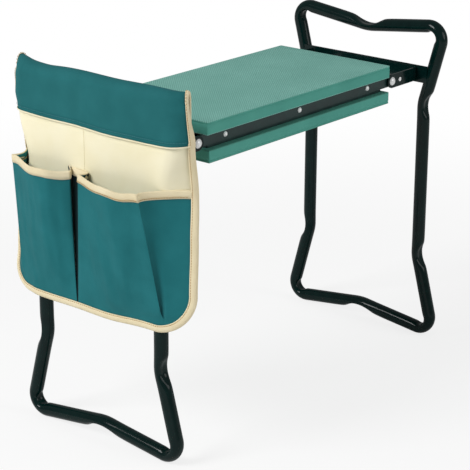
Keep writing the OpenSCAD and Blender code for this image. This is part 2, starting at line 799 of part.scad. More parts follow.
upper_pad();
lower_pad();
upper_pan();
lower_pan();
side_rivets();
pivot_bolts(-1);  // left_pivot_bolts
pivot_nuts(-1);  // left_pivot_nuts
pivot_washers(-1);  // left_pivot_washers
pivot_bolts(1);  // right_pivot_bolts
pivot_nuts(1);  // right_pivot_nuts
pivot_washers(1);  // right_pivot_washers
spring_seat(-1);  // left_spring_seat
spring_seat(1);  // right_spring_seat
latch_spring(-1);  // left_latch_spring
latch_spring(1);  // right_latch_spring
latch(-1);  // left_latch
latch(1);  // right_latch
leg_tube(-1, left_reach);  // left_leg_tube
leg_bracket(-1, left_reach);  // left_leg_bracket
lock_rod(-1);  // left_lock_rod
leg_tube(1, right_reach);  // right_leg_tube
leg_bracket(1, right_reach);  // right_leg_bracket
lock_rod(1);  // right_lock_rod
bag_sleeve();
bag_back_panel();
pocket(1, far_mouth, far_fold_top, far_fold_foot);  // bag_far_pocket
pocket(-1, near_mouth, near_fold_top, near_fold_foot);  // bag_near_pocket
bag_edge_tape();
bag_lower_straps();
bag_closing_tabs();
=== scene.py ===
# %% [markdown]
# # Folding garden kneeler seat
# A padded steel seat hangs between two closed loops of bent tube, and a cloth
# tool bag hangs over the left handle. The solid model of every rigid piece
# comes in first as a fixed frame. The lesson then dresses it: better shapes
# where the plain solids are too plain, and a finish for every surface.

# %% Load the frame
import json
import math

import bmesh
import bpy
from mathutils import Matrix, Vector, noise


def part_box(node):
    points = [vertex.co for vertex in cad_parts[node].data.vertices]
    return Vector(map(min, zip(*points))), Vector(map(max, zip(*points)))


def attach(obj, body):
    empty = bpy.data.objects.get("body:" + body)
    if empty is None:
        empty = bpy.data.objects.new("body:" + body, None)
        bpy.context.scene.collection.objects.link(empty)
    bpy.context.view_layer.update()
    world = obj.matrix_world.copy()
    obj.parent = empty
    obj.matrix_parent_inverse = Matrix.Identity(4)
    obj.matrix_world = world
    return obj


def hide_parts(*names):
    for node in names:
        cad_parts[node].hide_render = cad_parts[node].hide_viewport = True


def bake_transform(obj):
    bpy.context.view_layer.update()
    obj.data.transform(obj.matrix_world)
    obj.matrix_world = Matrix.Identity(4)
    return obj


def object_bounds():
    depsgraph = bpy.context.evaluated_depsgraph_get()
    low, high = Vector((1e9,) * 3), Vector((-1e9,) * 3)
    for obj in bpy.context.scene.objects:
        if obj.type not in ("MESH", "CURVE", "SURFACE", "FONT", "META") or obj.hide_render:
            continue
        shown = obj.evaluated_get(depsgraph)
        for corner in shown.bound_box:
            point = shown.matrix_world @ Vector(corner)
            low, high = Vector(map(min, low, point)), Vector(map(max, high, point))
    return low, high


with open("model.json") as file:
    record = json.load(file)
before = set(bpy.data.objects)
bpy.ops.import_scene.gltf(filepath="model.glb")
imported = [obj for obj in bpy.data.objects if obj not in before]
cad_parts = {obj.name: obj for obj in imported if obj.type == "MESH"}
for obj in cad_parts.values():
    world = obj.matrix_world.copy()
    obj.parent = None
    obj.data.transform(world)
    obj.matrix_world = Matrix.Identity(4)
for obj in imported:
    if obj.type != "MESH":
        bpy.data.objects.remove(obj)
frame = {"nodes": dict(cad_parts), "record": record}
nodes = frame["nodes"]
cad_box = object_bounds()
MM = 0.001
print("solid model:", len(nodes), "nodes, box", [[round(c, 4) for c in p] for p in cad_box])

# %% [markdown]
# ## Camera, floor and light
# The product is shown as a catalogue would: a long lens from the front left,
# a white floor, and broad soft lamps. The camera sees a white world, but that
# world lights the product with less than a third of its strength. So the lamps
# give the product form, while white stays white behind it.

# %% Camera
LENS_MM = 136.66
SENSOR_MM = 36
CAMERA_AT = Vector((-1.82734, -1.51048, 1.03240))
CAMERA_FORWARD = Vector((0.72854, 0.60237, -0.32616))
CAMERA_UP = Vector((0.24762, 0.21235, 0.94530))
SUBJECT = Vector((0, 0, 0.25))


def add_camera():
    data = bpy.data.cameras.new("camera")
    data.sensor_width = SENSOR_MM
    data.lens = LENS_MM
    camera = bpy.data.objects.new("camera", data)
    bpy.context.scene.collection.objects.link(camera)
    back = -CAMERA_FORWARD.normalized()
    right = CAMERA_UP.cross(back).normalized()
    up = back.cross(right)
    turn = Matrix((right, up, back)).transposed().to_4x4()
    camera.matrix_world = Matrix.Translation(CAMERA_AT) @ turn
    bpy.context.scene.camera = camera


add_camera()
bpy.context.scene.view_settings.view_transform = "Standard"
print("camera", round((SUBJECT - CAMERA_AT).length, 3), "m from the seat")

# %% Shader helpers
USED_OUTPUT = {"Attribute": "Fac", "LightPath": "Is Camera Ray", "Mix": "Result",
               "TexCoord": "Object", "TexWave": "Fac", "VectorMath": "Value"}


def node_adder(holder):
    """Empty the node tree of a material or world, and return a short way to add to it."""
    holder.use_nodes = True
    tree = holder.node_tree
    tree.nodes.clear()

    def add(kind, inputs=None, **settings):
        node = tree.nodes.new("ShaderNode" + kind)
        for name, value in settings.items():
            setattr(node, name, value)
        for name, value in (inputs or {}).items():
            if isinstance(value, bpy.types.NodeSocket):
                tree.links.new(value, node.inputs[name])
            else:
                node.inputs[name].default_value = value
        return node.outputs[USED_OUTPUT.get(kind, 0)] if node.outputs else node

    return add


def new_material(name):
    """An empty material and its node adder."""
    material = bpy.data.materials.new(name)
    return material, node_adder(material)


def colour(red, green, blue):
    """A colour given from 0 to 255, made linear."""
    def linear(c):
        c = c / 255
        return c / 12.92 if c <= 0.04045 else ((c + 0.055) / 1.055) ** 2.4
    return (linear(red), linear(green), linear(blue), 1)


def mix(add, share, one, two):
    """A colour between two others."""
    return add("Mix", {"Factor": share, "A": one, "B": two}, data_type="RGBA")


def ramp(add, value, low=0.0, high=1.0, to_low=0.0, to_high=1.0, **settings):
    """A value carried from one range to another and held at its ends."""
    return add("MapRange", {"Value": value, "From Min": low, "From Max": high,
                            "To Min": to_low, "To Max": to_high}, **settings)


def cloud(add, place, scale, detail):
    """Soft noise from 0 to 1, with so many patches to the metre."""
    return add("TexNoise", {"Vector": place, "Scale": scale, "Detail": detail})


def bands(add, place, pitch, way="X"):
    """Straight waves across one axis, with a pitch in millimetres."""
    return add("TexWave", {"Vector": place, "Scale": 1 / (pitch * MM) * math.pi / 10},
               wave_type="BANDS", bands_direction=way)


def bumps(add, height, strength, depth):
    """A normal roughened by a height, with a depth in millimetres."""
    return add("Bump", {"Height": height, "Strength": strength, "Distance": depth * MM})


def surface(add, inputs):
    """A Principled shader with these inputs, wired to the output."""
    add("OutputMaterial", {"Surface": add("BsdfPrincipled", inputs)})


# %% World, floor and lamps
AMBIENT = 0.30
WHITE = (1, 1, 1, 1)
PAPER = (0.93, 0.93, 0.93, 1)
FLOOR_SIZE = 60
FLOOR_DROP = 0.6
FLOOR_GLOW = 0.8
GLOW_FROM = 0.5
GLOW_FULL = 1.6


def light_world():
    world = bpy.data.worlds.new("studio")
    bpy.context.scene.world = world
    add = node_adder(world)
    strength = ramp(add, add("LightPath"), to_low=AMBIENT)
    add("OutputWorld", {"Surface": add("Background", {"Color": WHITE, "Strength": strength})})


def floor_material():
    """White paper that keeps the shadows near the object and glows further out."""
    material, add = new_material("white_floor")
    away = add("VectorMath", {0: add("TexCoord")}, operation="LENGTH")
    glowing = ramp(add, away, GLOW_FROM, GLOW_FULL, FLOOR_GLOW, interpolation_type="SMOOTHSTEP")
    share = add("Math", {0: add("LightPath"), 1: glowing}, operation="MULTIPLY")
    paper = add("BsdfDiffuse", {"Color": PAPER})
    glow = add("Emission", {"Color": WHITE, "Strength": 1.0})
    add("OutputMaterial", {"Surface": add("MixShader", {0: share, 1: paper, 2: glow})})
    return material


def add_floor():
    mesh = bpy.data.meshes.new("floor")
    work = bmesh.new()
    bmesh.ops.create_grid(work, x_segments=1, y_segments=1, size=FLOOR_SIZE / 2)
    work.to_mesh(mesh)
    work.free()
    mesh.materials.append(floor_material())
    floor = bpy.data.objects.new("floor", mesh)
    floor.location.z = cad_box[0][2] - FLOOR_DROP * MM
    bpy.context.scene.collection.objects.link(floor)


def add_lamp(name, at, size, power):
    data = bpy.data.lights.new(name, "AREA")
    data.shape = "DISK"
    data.size = size
    data.energy = power
    lamp = bpy.data.objects.new(name, data)
    aim = (Vector(at) - SUBJECT).to_track_quat("Z", "Y").to_matrix().to_4x4()
    lamp.matrix_world = Matrix.Translation(Vector(at)) @ aim
    bpy.context.scene.collection.objects.link(lamp)


light_world()
add_floor()
add_lamp("key_lamp", (-2.7, 0.9, 2.5), size=1.6, power=84)
add_lamp("fill_lamp", (0.9, -3.2, 1.6), size=2.2, power=32)
print("world at", AMBIENT, "and two lamps")

# %% [markdown]
# ## Finishes
# Each finish is one material that reads object coordinates in metres, or the
# cloth's own flat coordinates where a weave has to follow the fold. Powder
# coat has a faint orange-peel skin. Zinc is slightly cloudy. Foam is a matte
# skin pressed with small diamonds, with a plain cut face at the sides. The
# seat's skin is painted lighter for the light on its top, and the kneeling
# pad's skin darker as painted shade. The cloth has painted shade deep in the
# pockets' pleats and beside their folds, and the sleeve is painted darker.

# %% Powder coat, paint, zinc and nylon


def speckled(name, base, spots, scale, amount, roughness, metallic=0.0, bump=0.02,
             rough_swing=0.06, specular=0.5):
    """A hard finish: base colour with soft spots, an uneven gloss and a fine skin."""
    material, add = new_material(name)
    place = add("TexCoord")
    patches = cloud(add, place, scale, 3.0)
    share = ramp(add, patches, 0.35, 0.75, 0.0, amount)
    surface(add, {
        "Base Color": mix(add, share, colour(*base), colour(*spots)),
        "Roughness": ramp(add, patches, to_low=roughness - rough_swing,
                          to_high=roughness + rough_swing),
        "Normal": bumps(add, cloud(add, place, scale * 9, 2.0), 0.35, bump),
        "Metallic": metallic,
        "Specular IOR Level": specular,
    })
    return material


powder_coat = speckled("powder_coat", (2, 25, 24), (6, 36, 33), 70, 0.5, 0.13,
                       bump=0.04, rough_swing=0.03, specular=0.18)
pan_paint = speckled("pan_paint", (18, 43, 42), (32, 60, 57), 60, 0.6, 0.38,
                     bump=0.04, specular=0.4)
zinc = speckled("zinc", (250, 251, 250), (232, 234, 235), 300, 0.7, 0.3, metallic=0.15)
spring_steel = speckled("spring_steel", (176, 178, 180), (132, 134, 135), 300, 0.7, 0.35,
                        metallic=0.7)
nylon = speckled("nylon", (26, 29, 30), (38, 42, 43), 200, 0.5, 0.55)

# %% Foam
DIAMOND_PITCH = 2.7
DIAMOND_DEPTH = 0.5
DIAMOND_SHADE = colour(78, 134, 123)
CELL_DEPTH = 0.1


def foam(name, base, shade, skin):
    """Closed-cell foam. The skin is pressed with a net of small diamonds."""
    material, add = new_material(name)
    place = add("TexCoord")
    share = ramp(add, cloud(add, place, 14.0, 4.0), 0.3, 0.7)
    tint = mix(add, share, colour(*base), colour(*shade))
    height = cloud(add, place, 900.0, 2.0)
    if skin:
        waves = []
        for turn in (math.radians(45), math.radians(-45)):
            lie = add("Mapping", {"Vector": place, "Rotation": (0, 0, turn)})
            waves.append(bands(add, lie, DIAMOND_PITCH))
        crossed = add("Math", {0: waves[0], 1: waves[1]}, operation="MULTIPLY")
        dimples = ramp(add, crossed, 0.2, 0.7)
        height = add("Math", {0: height, 1: 0.15, 2: dimples}, operation="MULTIPLY_ADD")
        tint = mix(add, ramp(add, dimples, to_high=0.75), tint, DIAMOND_SHADE)
    surface(add, {
        "Base Color": tint,
        "Roughness": 0.62,
        "Normal": bumps(add, height, 0.6, DIAMOND_DEPTH if skin else CELL_DEPTH),
        "Specular IOR Level": 0.15,
    })
    return material


# The seat's skin has its real pressed diamonds, but it is painted lighter than the cut face, as
# painted light for the sheen on its top.
foam_skin_painted_light = foam("foam_skin_painted_light", (137, 196, 184), (127, 186, 174), skin=True)
foam_cut = foam("foam_cut", (86, 164, 149), (78, 154, 140), skin=False)

# %% Cloth
WEAVE_PITCH = 0.9
# Painted shade for the cloth deep in a pleat and beside a fold.
PLEAT_PAINTED_SHADE = colour(13, 36, 39)


def cloth(name, warp, weft, mottle, sheen=0.08, pitch=WEAVE_PITCH, relief=0.12):
    """Plain weave in the cloth's own flat coordinates, in metres, with painted shade deep in a
    pleat.
    """
    material, add = new_material(name)
    flat = add("UVMap", uv_map="cloth")
    place = add("TexCoord")
    over = add("Math", {0: bands(add, flat, pitch, "X"), 1: bands(add, flat, pitch, "Y")},
               operation="MULTIPLY")
    weave = mix(add, over, colour(*warp), colour(*weft))
    share = ramp(add, cloud(add, place, 26.0, 5.0), 0.35, 0.7, 0.0, 0.55)
    faded = mix(add, share, weave, colour(*mottle))
    # The tuck attribute says where painted shade darkens the cloth.
    tuck = add("Attribute", attribute_name="tuck")
    lift = add("Math", {0: cloud(add, place, 420.0, 2.0), 1: 0.6, 2: over},
               operation="MULTIPLY_ADD")
    surface(add, {
        "Base Color": mix(add, tuck, faded, PLEAT_PAINTED_SHADE),
        "Roughness": 0.78,
        "Normal": bumps(add, lift, 0.5, relief),
        "Sheen Weight": sheen,
        "Sheen Roughness": 0.4,
        "Specular IOR Level": 0.2,
    })
    return material


teal_cloth = cloth("teal_cloth", (24, 108, 113), (16, 93, 99), (35, 120, 126), sheen=0.03)
# The sleeve's teal is the pockets' teal painted darker, as painted shade for its front, which
# catches less light.
sleeve_cloth_painted_shade = cloth("sleeve_cloth_painted_shade", (27, 102, 105), (19, 88, 92), (36, 112, 116), sheen=0.03)
cream_cloth = cloth("cream_cloth", (246, 238, 204), (238, 228, 190), (250, 244, 217))
tape_cloth = cloth("tape_cloth", (237, 223, 186), (216, 198, 156), (245, 234, 203),
                   pitch=1.2, relief=0.2)
webbing = cloth("webbing", (28, 31, 32), (20, 22, 23), (36, 40, 41), pitch=1.6, relief=0.3)
thread = speckled("thread", (190, 156, 104), (164, 130, 82), 300, 0.5, 0.7)
pale_thread = speckled("pale_thread", (236, 224, 186), (222, 208, 168), 300, 0.5, 0.7)
teal_thread = speckled("teal_thread", (44, 124, 130), (30, 98, 104), 300, 0.5, 0.7)
print("finishes:", len(bpy.data.materials))

# %% Finish the solid nodes that keep their shape
FINISH_OF_SLOT = {"pan_paint": pan_paint, "frame_coat": powder_coat, "zinc": zinc,
                  "nylon": nylon}
slot_of = {s["node"]: s["material_slot"] for s in frame["record"]["subparts"]}
for name, slot in slot_of.items():
    if slot in FINISH_OF_SLOT:
        nodes[name].data.materials.clear()
        nodes[name].data.materials.append(FINISH_OF_SLOT[slot])
print("kept solids have their finish")

# %% [markdown]
# ## Mesh helpers
# Most pieces here, whether cloth, tube or wire, start from one flat grid. Each
# grid point is then moved to its place by a rule that says where that part of
# the piece goes, and a tube's two long edges are joined where they meet.

# %% Helpers that make objects


def add_object(name, work, material, body, node_slot, smooth=True):
    """A piece made of a mesh in work, on its body; its node_slot is not used."""
    mesh = bpy.data.meshes.new(name)
    work.to_mesh(mesh)
    work.free()
    for one in material if isinstance(material, list) else [material]:
        mesh.materials.append(one)
    for face in mesh.polygons:
        face.use_smooth = smooth
    piece = bpy.data.objects.new(name, mesh)
    bpy.context.scene.collection.objects.link(piece)
    if body:
        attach(piece, body)
    return piece


def net(columns, rows, place, flat_size=(1, 1)):
    """A grid whose points go where place(across, along) says, both from 0 to 1."""
    work = bmesh.new()
    flat = work.loops.layers.uv.new("cloth")
    bmesh.ops.create_grid(work, x_segments=columns, y_segments=rows, size=0.5, calc_uvs=True)
    for face in work.faces:
        for corner in face.loops:
            u, v = corner[flat].uv
            corner[flat].uv = (u * flat_size[0], v * flat_size[1])
    for point in work.verts:
        point.co = place(point.co.x + 0.5, point.co.y + 0.5)
    return work


def join_edges(work, reach):
    """Join a tube's long edges, cap its ends if they are open, and turn its faces out."""
    bmesh.ops.remove_doubles(work, verts=work.verts, dist=reach)
    ends = [edge for edge in work.edges if edge.is_boundary]
    if ends:
        bmesh.ops.holes_fill(work, edges=ends, sides=0)
    bmesh.ops.recalc_face_normals(work, faces=work.faces)


def between(a, b, share):
    return a + (b - a) * share


def eased(share):
    """Share from 0 to 1 with soft ends."""
    share = max(0.0, min(1.0, share))
    return share * share * (3 - 2 * share)


def along_spline(points, share):
    """A point on a smooth curve through the points, evenly in their numbers."""
    spans = len(points) - 1
    at = max(0.0, min(1.0, share)) * spans
    i = min(int(at), spans - 1)
    t = at - i
    p1, p2 = points[i], points[i + 1]
    p0 = points[i - 1] if i > 0 else p1 * 2 - p2
    p3 = points[i + 2] if i + 2 <= spans else p2 * 2 - p1
    return 0.5 * ((2 * p1) + (p2 - p0) * t + (2 * p0 - 5 * p1 + 4 * p2 - p3) * t * t
                  + (3 * p1 - p0 - 3 * p2 + p3) * t ** 3)


# %% [markdown]
# ## Foam pads
# The seat is two slabs of closed-cell foam, cut from sheet. The knife leaves
# soft arrises, and the pressed skin ends in a thin pinched line just under the
# upper edge. A cube scaled to the slab, bevelled, and cut into bands by a few
# planes gives the line and a barely crowned face without any sculpting.

# %% Pads
PAD_CORNER = 1.4
PAD_ARRIS = 1.3
PINCH_DOWN = 3.4
PINCH_DEPTH = 0.7
PINCH_REACH = 0.9
SIDE_HOLLOW = 0.35
SIDE_ACROSS = 0.985
SIDE_ALONG = 0.993
PAD_CROWN = 0.9
PAD_LUMP = 0.25
PAD_STEP = 16
SKIN_DOWN = 1.1


def round_off(work, edges, radius):
    bmesh.ops.bevel(work, geom=edges, offset=radius * MM, segments=4, profile=0.5,
                    affect="EDGES", material=-1)


def cut_bands(work, axis, levels):
    """Cut the whole mesh by planes across one axis."""
    normal = Vector((0, 0, 0))
    normal[axis] = 1
    for level in levels:
        everything = work.verts[:] + work.edges[:] + work.faces[:]
        bmesh.ops.bisect_plane(work, geom=everything, plane_co=normal * level,
                               plane_no=normal, dist=1e-7)


def slab_pad(name, node, skin_up):
    """A pad cut from sheet: its pressed skin faces up or down, its sides are cut."""
    low, high = (Vector(c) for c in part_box(node))
    size, middle = high - low, (high + low) / 2
    work = bmesh.new()
    bmesh.ops.create_cube(work, size=1)
    bmesh.ops.scale(work, vec=size, verts=work.verts)
    upright = [e for e in work.edges if abs(e.verts[0].co.z - e.verts[1].co.z) > size.z / 2]
    round_off(work, upright, PAD_CORNER)
    round_off(work, [e for e in work.edges if abs(e.calc_face_angle(0)) > 1.2], PAD_ARRIS)
    up = 1 if skin_up else -1
    pinch = up * (size.z / 2 - PINCH_DOWN * MM)
    cut_bands(work, 2, [pinch + step * PINCH_REACH / 2 * MM for step in (-2, -1, 0, 1, 2)] + [0])
    for axis in (0, 1):
        count = int(size[axis] / (PAD_STEP * MM))
        cut_bands(work, axis, [(i / count - 0.5) * size[axis] for i in range(1, count)])
    for point in work.verts:
        x, y, z = point.co
        across, along = abs(2 * y / size.y), abs(2 * x / size.x)
        squeeze = max(0.0, 1 - abs(z - pinch) / (PINCH_REACH * MM))
        hollow = (1 - min(across, along) ** 2) * math.cos(math.pi * z / size.z)
        pull = (squeeze * PINCH_DEPTH + SIDE_HOLLOW * hollow) * MM
        if across > SIDE_ACROSS:
            point.co.y -= math.copysign(pull, y)
        if along > SIDE_ALONG:
            point.co.x -= math.copysign(pull, x)
        if z * up > size.z / 2 - 0.2 * MM:
            lump = noise.noise(Vector((x * 14, y * 14, up))) * PAD_LUMP
            swell = (1 - across ** 6) * (1 - along ** 8)
            crown = PAD_CROWN * (0.55 + 0.45 * (1 - across ** 2)) + lump
            point.co.z += up * swell * crown * MM
    bmesh.ops.translate(work, vec=middle, verts=work.verts)
    bmesh.ops.recalc_face_normals(work, faces=work.faces)
    for face in work.faces:
        inside = abs(face.calc_center_median().z - middle.z)
        face.material_index = 0 if inside > size.z / 2 - SKIN_DOWN * MM else 1
    # The seat pad's skin carries painted light and the kneeling pad's skin carries painted shade.
    pad = add_object(name, work, [foam_skin_painted_light if skin_up else foam_low_painted_shade, foam_cut], "seat",
                     slot_of[node])
    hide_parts(node)
    return pad


# The kneeling pad's skin is the same skin painted darker, as painted shade for its top under the
# seat.
foam_low_painted_shade = foam("foam_low_painted_shade", (84, 152, 136), (76, 143, 127), skin=True)
for name, node, skin_up in (("seat_pad", "upper_pad", True), ("kneeling_pad", "lower_pad", False)):
    pad = slab_pad(name, node, skin_up)
    print(pad.name, "faces", len(pad.data.polygons))

# %% [markdown]
# ## Crush-bent tube loops
# Each leg is one tube bent cold into a closed loop, without a mandrel. The
# cheap bending shoe flattens the inside of every bend into a dimple with a low
# ridge at either end, and the tube spreads a little sideways. A ring of points
# is carried round the loop, and near each bend it is pressed in on the side
# that faces the centre of the bend.

# %% Loop geometry, in millimetres across and up
LOOP_HEIGHT = 487.0
LOOP_WIDTH = 275.0
WAIST_WIDTH = 225.0
TUBE_R = 9.5
CORNER_R = 20.0
KINK_R = 60.0
BAR_KINK_R = 80.0
FLARE = math.radians(15)
BAR_SLOPE = math.radians(7)
FLOOR_GAP = 0.05
PATH_STEP = 3.2


def loop_corners():
    """The corner points of the loop's centre line and the radius of each bend."""
    corner_y = LOOP_WIDTH / 2 - TUBE_R - CORNER_R
    corner_z = TUBE_R + CORNER_R + FLOOR_GAP
    waist_y = (WAIST_WIDTH - 2 * TUBE_R) / 2
    bar_mid = corner_z - CORNER_R / math.cos(BAR_SLOPE) + corner_y * math.tan(BAR_SLOPE)
    side_y = corner_y + CORNER_R / math.cos(FLARE)
    kink_z = corner_z + (side_y - waist_y) / math.tan(FLARE)
    foot_y = ((side_y + (corner_z - bar_mid) * math.tan(FLARE))
              / (1 - math.tan(BAR_SLOPE) * math.tan(FLARE)))
    foot_z = bar_mid - foot_y * math.tan(BAR_SLOPE)
    half = [(foot_y, foot_z), (waist_y, kink_z), (waist_y, LOOP_HEIGHT - kink_z),
            (foot_y, LOOP_HEIGHT - foot_z)]
    points = [(0, bar_mid)] + half + [(0, LOOP_HEIGHT - bar_mid)]
    points += [(-y, z) for y, z in reversed(half)]
    radii = [BAR_KINK_R, CORNER_R, KINK_R, KINK_R, CORNER_R] * 2
    return [Vector(p) for p in points], radii


def loop_path(step):
    """Centre-line points with direction and distance, each bend's middle, and the length."""
    points, radii = loop_corners()
    path, bends, travelled = [], [], 0.0
    count = len(points)
    reach = []
    for i, point in enumerate(points):
        before = (point - points[i - 1]).normalized()
        after = (points[(i + 1) % count] - point).normalized()
        turn = math.atan2(before.cross(after), before.dot(after))
        reach.append((before, after, turn, radii[i] * math.tan(abs(turn) / 2)))
    for i, point in enumerate(points):
        before, after, turn, setback = reach[i]
        side = 1 if turn > 0 else -1
        inside = Vector((-before.y, before.x)) * side
        start = point - before * setback
        centre = start + inside * radii[i]
        arc = abs(turn) * radii[i]
        steps = max(6, round(arc / (step * 0.5)))
        bends.append((travelled + arc / 2, side, radii[i]))
        for k in range(steps):
            angle = turn * k / steps
            spoke = Matrix.Rotation(angle, 2) @ (start - centre)
            path.append((centre + spoke, Matrix.Rotation(angle, 2) @ before,
                         travelled + arc * k / steps))
        travelled += arc
        end = point + after * setback
        run = (points[(i + 1) % count] - after * reach[(i + 1) % count][3] - end).length
        steps = max(1, round(run / step))
        for k in range(steps):
            path.append((end + after * run * k / steps, after, travelled + run * k / steps))
        travelled += run
    path.append((path[0][0], path[0][1], travelled))
    return path, bends, travelled


path, bends, loop_length = loop_path(PATH_STEP)
print("loop centre line", round(loop_length), "mm with", len(bends), "bends")

# %% Press the bends and build both loops
CRUSH = {CORNER_R: (4.2, 16.0), KINK_R: (6.0, 17.0), BAR_KINK_R: (7.6, 24.0)}
SPREAD = 0.13
DIMPLE = 1.5
RIDGE = 0.7
RING = 36


def tube_section(angle, at):
    """The skin's distance from the centre line, inwards in the loop's plane and sideways."""
    inward, aside = TUBE_R * math.cos(angle), TUBE_R * math.sin(angle)
    for middle, side, bend_r in bends:
        gap = at - middle
        gap -= loop_length * round(gap / loop_length)
        depth, half = CRUSH[bend_r]
        if abs(gap) > 3 * half:
            continue
        pressed = math.exp(-abs(gap / half) ** 2.6)
        beside = math.exp(-((abs(gap) - 1.2 * half) / (0.28 * half)) ** 2)
        facing = max(0.0, inward * side / TUBE_R)
        across = aside / TUBE_R
        flat = depth * facing + DIMPLE * math.exp(-(across / 0.42) ** 2) * facing ** 2
        inward += side * (RIDGE * beside * facing ** 3 - pressed * flat)
        aside *= 1 + SPREAD * pressed * depth / TUBE_R
    return inward, aside


def tube_loop(end):
    """One leg's loop of tube, in the plane of its plain solid."""
    node = end + "_leg_tube"
    plane_x = sum(c[0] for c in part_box(node)) / 2
    rows = len(path) - 1

    def place(across, along):
        centre, way, at = path[round(along * rows)]
        angle = 2 * math.pi * round(across * RING) / RING
        inward, aside = tube_section(angle, at)
        inner = Vector((-way.y, way.x)) * inward
        return Vector((plane_x / MM + aside, centre.x + inner.x, centre.y + inner.y)) * MM

    work = net(RING, rows, place)
    join_edges(work, 2e-6)
    loop = add_object(end + "_tube_loop", work, powder_coat, end + "_leg", slot_of[node])
    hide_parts(node)
    print(loop.name, "faces", len(loop.data.polygons))


for end in ("left", "right"):
    tube_loop(end)

# %% [markdown]
# ## Tool bag
# The bag is a flat cloth panel that hangs by a sleeve over the left handle,
# with two pockets on its outer face. Its side edges curl back round the tubes.
# Every surface of the bag is a cloth net placed on one rule for the panel, so
# that pockets, tapes and stitches all land where the panel really is.

# %% The panel's form
BAG_HALF = 160.0
BAG_FOOT = 182.0
BAG_FACE = 12.0
CURL_R = 24.0
# Rows of a height with the most that a side edge turns there, in radians, and
# of a height with the distance from the middle at which it starts to turn.
CURL = [(0, 0.25), (190, 0.25), (240, 0.36), (310, 0.5), (372, 0.76), (430, 1.08), (475, 1.14),
        (496, 1.25), (600, 1.25)]
CURL_FROM = [(0, 105), (361, 105), (430, 121), (456, 124), (472, 124), (496, 118), (600, 118)]
CORNER = {-1: 55.0, 1: 34.0}
SEAM_S = 14.0
EDGE_TOP = 434.0
BAG_PLANE = sum(c[0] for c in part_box("left_leg_tube")) / 2 / MM


def read_table(table, at):
    """A value from a table of (height, value), eased between its rows."""
    for (a, one), (b, two) in zip(table, table[1:]):
        if at <= b:
            return between(one, two, eased((at - a) / (b - a)))
    return table[-1][1]


def hang(out, y, z):
    """A point from its distance out of the tube plane, across and up, in millimetres."""
    return Vector((BAG_PLANE - out, y, z)) * MM


def panel_point(s, z, lift=0.0):
    """The point at arc length s from the middle, at height z, lifted off the face."""
    side = 1 if s > 0 else -1
    start, most = read_table(CURL_FROM, z), read_table(CURL, z)
    beyond = max(0.0, abs(s) - start)
    turn = min(beyond / CURL_R, most)
    rest = beyond - turn * CURL_R
    y = min(abs(s), start) + CURL_R * math.sin(turn) + rest * math.cos(turn)
    out = BAG_FACE - CURL_R * (1 - math.cos(turn)) - rest * math.sin(turn)
    ripple = noise.noise(Vector((s / 45, z / 110, 1.7))) * 0.7 * eased((z - 190) / 60)
    ripple += 0.5 * math.exp(-((s - SEAM_S) / 3) ** 2) * eased((z - 330) / 30)
    out += ripple + lift * math.cos(turn)
    return hang(out, side * (y + lift * math.sin(turn)), z)


def sway(s):
    """How far the lower edge hangs above its pattern's straight line."""
    flat = BAG_HALF - CORNER[1 if s > 0 else -1]
    s = max(-flat, min(flat, s))
    return 3.0 * eased((-s - 20) / 90) - 1.2 * math.exp(-(s / 50) ** 2) + 0.5 * math.sin(s / 17)


def foot_z(s, inset=0.0):
    """Height of the panel's lower edge at arc length s."""
    radius = CORNER[1 if s > 0 else -1] - inset
    into = max(0.0, abs(s) - (BAG_HALF - inset - radius))
    drop = math.sqrt(max(0.0, radius ** 2 - into ** 2))
    return BAG_FOOT + inset + sway(s) * drop / radius + radius - drop


def outline(side, share, inset=0.0, top=EDGE_TOP + 2):
    """A flat point (s, z) on the panel's edge, from the lower middle to the top."""
    radius = CORNER[side] - inset
    half = BAG_HALF - inset
    flat, arc = half - radius, radius * math.pi / 2
    rise = top - (BAG_FOOT + inset + radius)
    at = share * (flat + arc + rise)
    if at < flat:
        return side * at, foot_z(side * at, inset)
    if at < flat + arc:
        s = flat + radius * math.sin((at - flat) / radius)
        return side * s, foot_z(side * s, inset)
    return side * half, BAG_FOOT + inset + radius + (at - flat - arc)


print("bag edge at the mouth", [round(c * 1000) for c in panel_point(BAG_HALF, 372)])

# %% Cream panel
PANEL_NET = (90, 70)
PANEL_TOP = 437.0
CLOTH = 1.3


def thicken(piece, thickness, offset=-1.0, even=True):
    """Give a cloth net its wall, in millimetres."""
    wall = piece.modifiers.new("cloth_wall", "SOLIDIFY")
    wall.thickness = thickness * MM
    wall.offset = offset
    wall.use_even_offset = even


def cloth_piece(name, node, work, material, away=(-1, 0, 0), thickness=CLOTH):
    """A sheet of the bag in place of its solid, with most of its faces looking away."""
    work.normal_update()
    total = Vector((0, 0, 0))
    for face in work.faces:
        total += face.normal * face.calc_area()
    if total.dot(Vector(away)) < 0:
        bmesh.ops.reverse_faces(work, faces=work.faces)
    piece = add_object(name, work, material, "left_leg", slot_of[node])
    thicken(piece, thickness)
    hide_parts(node)
    print(name, "faces", len(piece.data.polygons))
    return piece


def panel_place(across, along):
    """A point of the panel, whose rows lie closer together near its rounded foot."""
    share = 2 * across - 1
    radius = CORNER[1 if share > 0 else -1]
    z = BAG_FOOT + (PANEL_TOP - BAG_FOOT) * along ** 1.35
    into = max(0.0, BAG_FOOT + radius - z)
    s = share * (BAG_HALF - radius + math.sqrt(max(0.0, radius ** 2 - into ** 2)))
    return panel_point(s, z + sway(s) * max(0.0, 1 - (z - BAG_FOOT) / radius))


bag_panel = cloth_piece("bag_panel", "bag_back_panel",
                        net(*PANEL_NET, panel_place, (0.324, 0.256)), cream_cloth)

# %% Sleeve over the handle
SLEEVE_NET = (100, 56)
BAND_FOOT = 428.6
SLEEVE_HALF = 151.5
SLEEVE_TOP = 497.0
TURN_Z = 483.0
FRONT_SHARE = 0.44
OVER_SHARE = 0.26
BACK_SHARE = 1 - FRONT_SHARE - OVER_SHARE
BACK_FOOT = 441.0
SLEEVE_BACK = -12.8
BACK_HALF = 142.0


